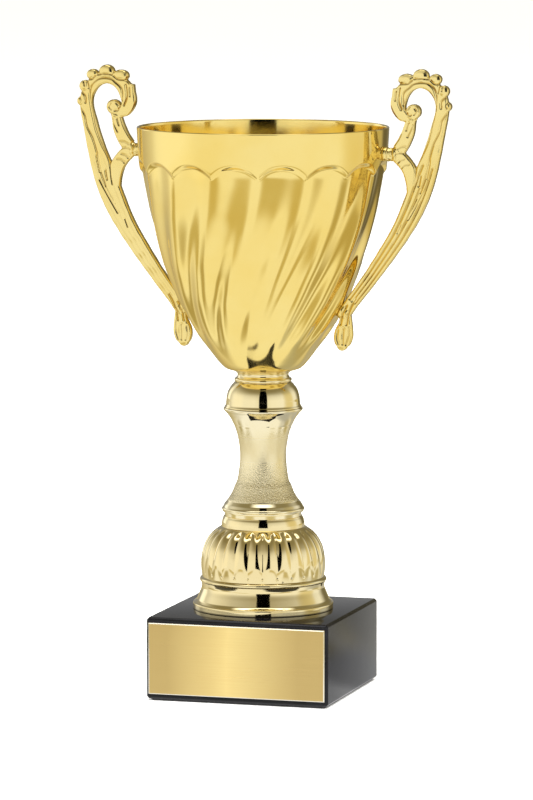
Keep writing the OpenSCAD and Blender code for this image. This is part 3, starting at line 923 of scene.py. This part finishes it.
def leg_rib(share, first, last):
    """A line along the leg, at a share of its half width from the middle."""
    line = spline(LEG[first:last + 1], 5)
    way = np.gradient(line[:, :2], axis=0)
    way /= np.linalg.norm(way, axis=1)[:, None]
    return line[:, :2] + np.column_stack([-way[:, 1], way[:, 0]]) * line[:, 2:] * share


def make_handle_mesh():
    """One handle as a single cast mesh: shapes fused by a fine remesh, smoothed, then carved."""
    rough = join_parts("handle_blank", handle_parts())
    remesh = rough.modifiers.new("fuse", "REMESH")
    remesh.mode = "VOXEL"
    remesh.voxel_size = HANDLE_VOXEL * MM
    soften = rough.modifiers.new("soften", "SMOOTH")
    soften.factor = 0.5
    soften.iterations = 2
    apply_modifiers(rough)
    mesh = rough.data
    count = len(mesh.vertices)
    co = np.zeros(count * 3)
    no = np.zeros(count * 3)
    mesh.vertices.foreach_get("co", co)
    mesh.vertices.foreach_get("normal", no)
    co, no = co.reshape(-1, 3) / MM, no.reshape(-1, 3)
    # Only the two flat faces are carved
    facing = np.clip((np.abs(no[:, 1]) - 0.25) / 0.5, 0, 1) * np.sign(co[:, 1])
    carve = np.zeros(count)
    for points, depth, width in GROOVES:
        carve = np.maximum(carve, depth * nearness(co, spline(points, 5), width))
    rib_depth = np.where(co[:, 1] < 0, LEG_RIB_CRISP, LEG_RIB_WORN)
    for share, first, last in LEG_RIBS:
        carve = np.maximum(carve, rib_depth * nearness(co, leg_rib(share, first, last), LEG_RIB_WIDTH))
    co[:, 1] -= carve * facing
    # Hand-cast unevenness
    co += no * value_noise(co, 6.0, 11)[:, None] * 0.035
    # Seats fitted to the bowl's wall, a hair outside it
    radius = np.hypot(co[:, 0], co[:, 1])
    wall = bowl_radius(np.clip(co[:, 2], 0.05, BOWL_H), np.arctan2(co[:, 0], -co[:, 1])) + 0.03
    inside = (radius < wall) & (co[:, 2] < BOWL_H)
    scale = np.where(inside, wall / radius, 1.0)
    co[:, :2] *= scale[:, None]
    co[:, 2] += BOWL_Z
    mesh.vertices.foreach_set("co", (co * MM).ravel())
    mesh.update()
    mesh.shade_smooth()
    rough.name = "cast_handle_right"
    return rough


def make_handles():
    """Both handles come from one mould, so the left one is the right one turned half round the axis."""
    right = make_handle_mesh()
    left_mesh = right.data.copy()
    left_mesh.transform(Matrix.Rotation(math.pi, 4, "Z"))
    left = add_object("cast_handle_left", left_mesh)
    finish_piece(right, cast, "cast_gold", "handle_right")
    finish_piece(left, cast, "cast_gold", "handle_left")


# ---------------- studio

def toward(azimuth):
    """Level direction at an azimuth in degrees from the camera's, positive to the camera's right."""
    a = CAMERA_AZIMUTH + math.radians(azimuth)
    return (math.sin(a), -math.cos(a), 0.0)


def tinted(level, warmth=0.0):
    """Light of a brightness, from neutral to the warm tone of the gold reflectors round the object."""
    return (level, level * (1 - 0.13 * warmth), level * (1 - 0.5 * warmth))


# Zones of light are (azimuth from the camera's and half width in degrees, brightness, warmth)
WALL_COLOUR = tinted(1.06)
WALL_ZONES = [(180, 80, 0.5, 0.4), (180, 42, 0.3, 0.0), (152, 22, 0.2, 1.0),
              (0, 30, 0.98, 0.1), (-90, 30, 1.15, 0.1), (90, 26, 0.85, 0.9),
              (-138, 13, 1.3, 0.0), (118, 12, 1.0, 0.0)]
# Light above the walls: colour, and the sines of the elevations where it starts and has fully begun
UPPER_LAYERS = [(tinted(0.28, 1.0), 0.15, 0.8), (tinted(2.6), 0.87, 0.96), (tinted(0.7), 0.965, 0.992)]
# Rings of the table: where each starts and has fully begun, in metres from the axis, and its zones
TABLE_COLOUR = tinted(1.06)
BEHIND = [(180, 80, 0.62, 1.0), (180, 42, 0.5, 1.0), (146, 14, 0.53, 0.2)]
TABLE_RINGS = [
    (0.0, 0.0, [(180, 80, 0.55, 0.6), (115, 42, 0.52, 0.0)]),
    (0.1, 0.2, BEHIND + [(-112, 15, 0.5, 1.0), (-72, 15, 0.55, 1.0),
                         (42, 14, 0.66, 1.0), (78, 13, 0.55, 1.0), (112, 16, 0.55, 1.0)]),
    (0.28, 0.48, BEHIND + [(-42, 20, 0.72, 1.0), (-100, 14, 0.65, 1.0),
                           (22, 20, 0.7, 1.0), (84, 22, 0.58, 1.0)]),
    (0.72, 0.95, [(180, 80, 0.55, 0.9), (150, 18, 0.16, 1.0), (128, 16, 0.6, 1.2),
                  (-92, 32, 1.14, 0.0), (96, 24, 0.92, 0.6)]),
]
# The mirrored table is a hair above the floor
TABLE_HALF, TABLE_LIFT = 3.0, 0.0002
SLIT_DISTANCE, SLIT_HALF, SLIT_TOP = 2.6, 0.6, 4.0
FLOOR_HALF, FLOOR_WHITE, FLOOR_GLOW = 12.0, 0.97, 0.35
BACKDROP_R, BACKDROP_LEVEL = 9.0, 1.2
# Soft light from above that shapes the matt surfaces: metres and watts
FILL_PLACE, FILL_TARGET = Vector((0.3, -0.6, 2.6)), Vector((0.0, 0.0, 0.1))
FILL_SIZE, FILL_POWER = 2.0, 110.0


def make_camera():
    data = bpy.data.cameras.new("camera")
    data.lens = CAMERA_LENS
    data.sensor_width = CAMERA_SENSOR
    data.clip_end = CAMERA_REACH
    camera = add_object("camera", data)
    a, p = CAMERA_AZIMUTH, CAMERA_PITCH
    aim = a - CAMERA_PAN
    forward = Vector((-math.sin(aim) * math.cos(p), math.cos(aim) * math.cos(p), -math.sin(p)))
    camera.location = (CAMERA_DISTANCE * math.sin(a), -CAMERA_DISTANCE * math.cos(a), CAMERA_HEIGHT)
    turn = Matrix.Rotation(CAMERA_ROLL, 4, forward)
    camera.rotation_euler = (turn @ forward.to_track_quat("-Z", "Y").to_matrix().to_4x4()).to_euler()
    bpy.context.scene.camera = camera


def step_node(tree, value, low, high):
    """Rises smoothly from 0 to 1 while value goes from low to high."""
    made = tree.nodes.new("ShaderNodeMapRange")
    made.interpolation_type = "SMOOTHSTEP"
    tree.links.new(value, made.inputs["Value"])
    made.inputs["From Min"].default_value = low
    made.inputs["From Max"].default_value = high
    return made.outputs["Result"]


def zoned_light(tree, direction, colour, zones):
    """The colour of the light from each direction: zones with soft edges, laid over each other in turn."""
    flat = tree.nodes.new("ShaderNodeVectorMath")
    flat.operation = "MULTIPLY"
    tree.links.new(direction, flat.inputs[0])
    flat.inputs[1].default_value = (1, 1, 0)
    unit = tree.nodes.new("ShaderNodeVectorMath")
    unit.operation = "NORMALIZE"
    tree.links.new(flat.outputs[0], unit.inputs[0])
    for azimuth, half, level, warmth in zones:
        dot = tree.nodes.new("ShaderNodeVectorMath")
        dot.operation = "DOT_PRODUCT"
        tree.links.new(unit.outputs[0], dot.inputs[0])
        dot.inputs[1].default_value = toward(azimuth)
        inside = step_node(tree, dot.outputs["Value"], math.cos(math.radians(half)), 1.0)
        colour = mix_colours(tree, inside, colour, tinted(level, warmth))
    return colour


def emissive(name, level=1.0):
    """A white light of its own, with the node that gives its colour."""
    material = bpy.data.materials.new(name)
    material.use_nodes = True
    tree = material.node_tree
    tree.nodes.clear()
    light = tree.nodes.new("ShaderNodeEmission")
    light.inputs["Color"].default_value = (1, 1, 1, 1)
    light.inputs["Strength"].default_value = level
    out = tree.nodes.new("ShaderNodeOutputMaterial")
    tree.links.new(light.outputs[0], out.inputs["Surface"])
    return material, light


def stage_panel(name, verts, material):
    """A flat four-cornered piece of the studio."""
    mesh = bpy.data.meshes.new(name)
    mesh.from_pydata(verts, [], [(0, 1, 2, 3)])
    mesh.materials.append(material)
    piece = add_object(name, mesh)
    return piece


def level_square(half, height):
    return [(-half, -half, height), (half, -half, height), (half, half, height), (-half, half, height)]


def seen_in_reflections_only(piece):
    piece.visible_camera = False
    piece.visible_diffuse = False
    piece.visible_shadow = False


def make_world():
    """Walls with brighter and dimmer zones, and the light above them."""
    world = bpy.data.worlds.new("studio")
    world.use_nodes = True
    tree = world.node_tree
    background = next(n for n in tree.nodes if n.type == "BACKGROUND")
    background.inputs["Strength"].default_value = 1.0
    direction = tree.nodes.new("ShaderNodeTexCoord").outputs["Generated"]
    colour = zoned_light(tree, direction, WALL_COLOUR, WALL_ZONES)
    split = tree.nodes.new("ShaderNodeSeparateXYZ")
    tree.links.new(direction, split.inputs[0])
    for layer, start, full in UPPER_LAYERS:
        colour = mix_colours(tree, step_node(tree, split.outputs["Z"], start, full), colour, layer)
    tree.links.new(colour, background.inputs["Color"])
    bpy.context.scene.world = world


def make_table_reflection():
    """What the object mirrors below it: a bright table top in rings, each with its own dimmer stretches."""
    material, light = emissive("table_mirrored")
    tree = material.node_tree
    place = tree.nodes.new("ShaderNodeTexCoord").outputs["Object"]
    reach = tree.nodes.new("ShaderNodeVectorMath")
    reach.operation = "LENGTH"
    tree.links.new(place, reach.inputs[0])
    colour = zoned_light(tree, place, TABLE_COLOUR, TABLE_RINGS[0][2])
    for low, high, zones in TABLE_RINGS[1:]:
        further = step_node(tree, reach.outputs["Value"], low, high)
        colour = mix_colours(tree, further, colour, zoned_light(tree, place, TABLE_COLOUR, zones))
    tree.links.new(colour, light.inputs["Color"])
    table = stage_panel("table_mirrored", level_square(TABLE_HALF, TABLE_LIFT), material)
    seen_in_reflections_only(table)


def make_lens_slit():
    """The dark gap in the tent that the camera looks through."""
    x, y, _ = toward(0)
    verts = [(x * SLIT_DISTANCE + y * w, y * SLIT_DISTANCE - x * w, z)
             for w, z in ((-SLIT_HALF, 0), (SLIT_HALF, 0), (SLIT_HALF, SLIT_TOP), (-SLIT_HALF, SLIT_TOP))]
    seen_in_reflections_only(stage_panel("lens_slit", verts, emissive("lens_slit", 0.0)[0]))


def make_backdrop():
    """White surroundings that only the camera sees."""
    bpy.ops.mesh.primitive_uv_sphere_add(segments=48, ring_count=24, radius=BACKDROP_R)
    dome = bpy.context.object
    dome.name = "backdrop"
    dome.data.materials.append(emissive("backdrop_white", BACKDROP_LEVEL)[0])
    for seen in ("diffuse", "glossy", "transmission", "shadow"):
        setattr(dome, "visible_" + seen, False)


def make_floor():
    """Matt white floor. In reflections the mirrored table stands for it."""
    white = (FLOOR_WHITE, FLOOR_WHITE, FLOOR_WHITE, 1)
    material = Nodes("floor_white").set(Base_Color=white, Roughness=0.9, Specular_IOR_Level=0.0,
                                        Emission_Color=white, Emission_Strength=FLOOR_GLOW)
    floor = stage_panel("floor", level_square(FLOOR_HALF, 0.0), material)
    floor.visible_glossy = False


def make_fill():
    fill = bpy.data.lights.new("soft_fill", "AREA")
    fill.size = FILL_SIZE
    fill.energy = FILL_POWER
    lamp = add_object("soft_fill", fill)
    lamp.location = FILL_PLACE
    lamp.rotation_euler = (FILL_TARGET - FILL_PLACE).to_track_quat("-Z", "Y").to_euler()
    lamp.visible_glossy = False


def make_studio():
    bpy.context.scene.view_settings.view_transform = "Standard"
    make_world()
    make_table_reflection()
    make_lens_slit()
    make_backdrop()
    make_floor()
    make_fill()


# ---------------- the object

make_camera()
make_studio()
make_bowl()
make_foot()
make_column()
make_knob()
make_collar()
make_rod()
make_marble()
make_plate()
make_handles()

CAD_MATERIALS = {"base_felt": felt_black, "plate_tape": tape_white}
for name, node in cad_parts.items():
    material = CAD_MATERIALS.get(name, zinc_steel)
    if not node.hide_render:
        node.data.materials.clear()
        node.data.materials.append(material)
